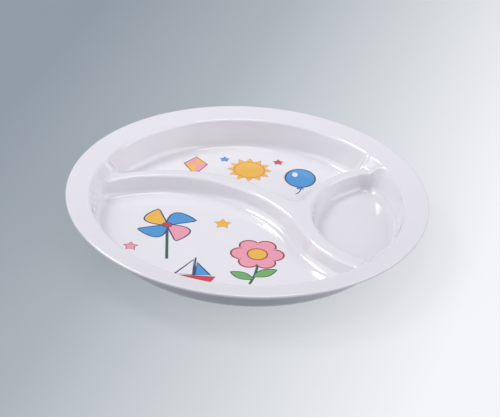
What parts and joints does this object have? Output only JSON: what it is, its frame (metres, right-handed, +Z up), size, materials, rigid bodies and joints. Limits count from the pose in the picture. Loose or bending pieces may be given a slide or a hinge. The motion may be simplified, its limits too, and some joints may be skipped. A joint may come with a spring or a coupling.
{
  "type": "divided compartment plate",
  "caption": "Round melamine plate with a sloping rim and low curved dividers that part it into a wide front well, a rear well and a small side well, with printed foils under clear glaze.",
  "frame": {"origin": "on the table, under the centre of the round plate", "axes": "+Z up out of the wells, +X toward the side well, -Y toward the front well"},
  "size_m": [0.23, 0.23, 0.026],
  "materials": {
    "melamine": "gloss, faint lavender white",
    "printed_foil": "white ground with printed motifs",
    "clear_glaze": "clear gloss"
  },
  "bodies": {
    "root": {"plate_body": "melamine", "front_foil": "printed_foil", "rear_foil": "printed_foil", "front_glaze": "clear_glaze", "rear_glaze": "clear_glaze"}
  },
  "joints": []
}
